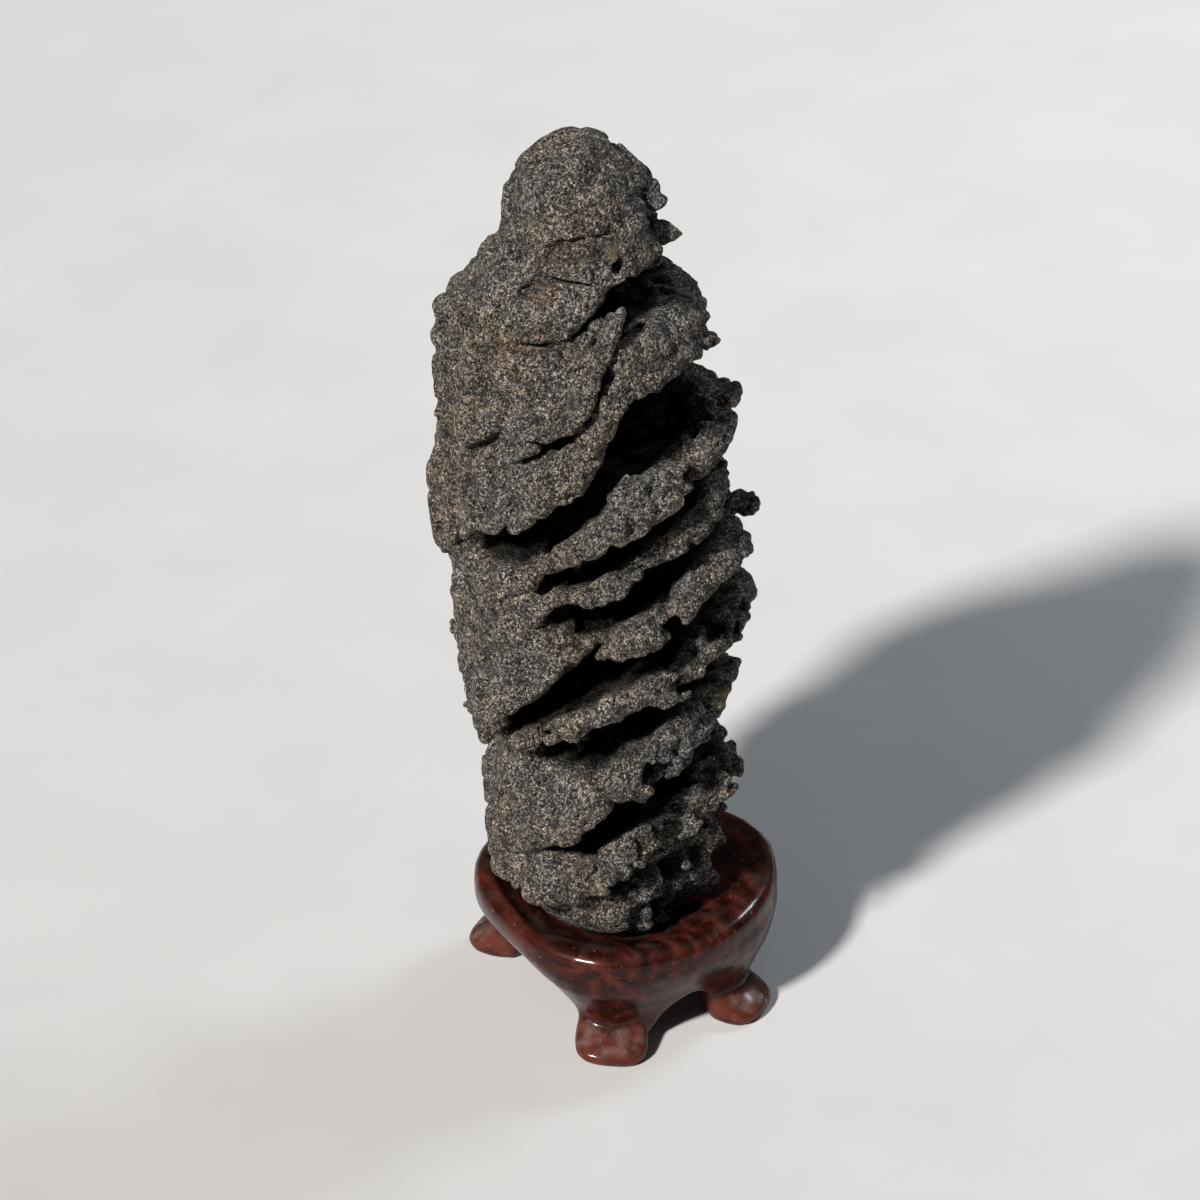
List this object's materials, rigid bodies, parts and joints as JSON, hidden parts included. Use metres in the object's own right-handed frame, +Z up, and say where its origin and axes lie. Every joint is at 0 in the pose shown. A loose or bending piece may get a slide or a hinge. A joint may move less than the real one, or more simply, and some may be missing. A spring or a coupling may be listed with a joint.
{
  "type": "scholars rock on stand",
  "caption": "Upright scholar's rock of slanting, pitted dark stone plates with deep notches between them, resting in the bowl of a carved dark hardwood stand with splayed feet.",
  "frame": {"origin": "on the table, under the middle of the whole outline seen from above", "axes": "+Z up; +X the short way across the stand's feet, +Y the long way; the stone's best face looks between -Y and -X"},
  "size_m": [0.0474, 0.0508, 0.1278],
  "materials": {
    "rock_stone": "matt, rough, grainy dark grey-brown stone with tan and pale specks",
    "stand_wood": "polished dark red-brown hardwood with open pores, worn lighter on the toes"
  },
  "bodies": {
    "root": {"rock": "rock_stone", "stand": "stand_wood"}
  },
  "joints": []
}
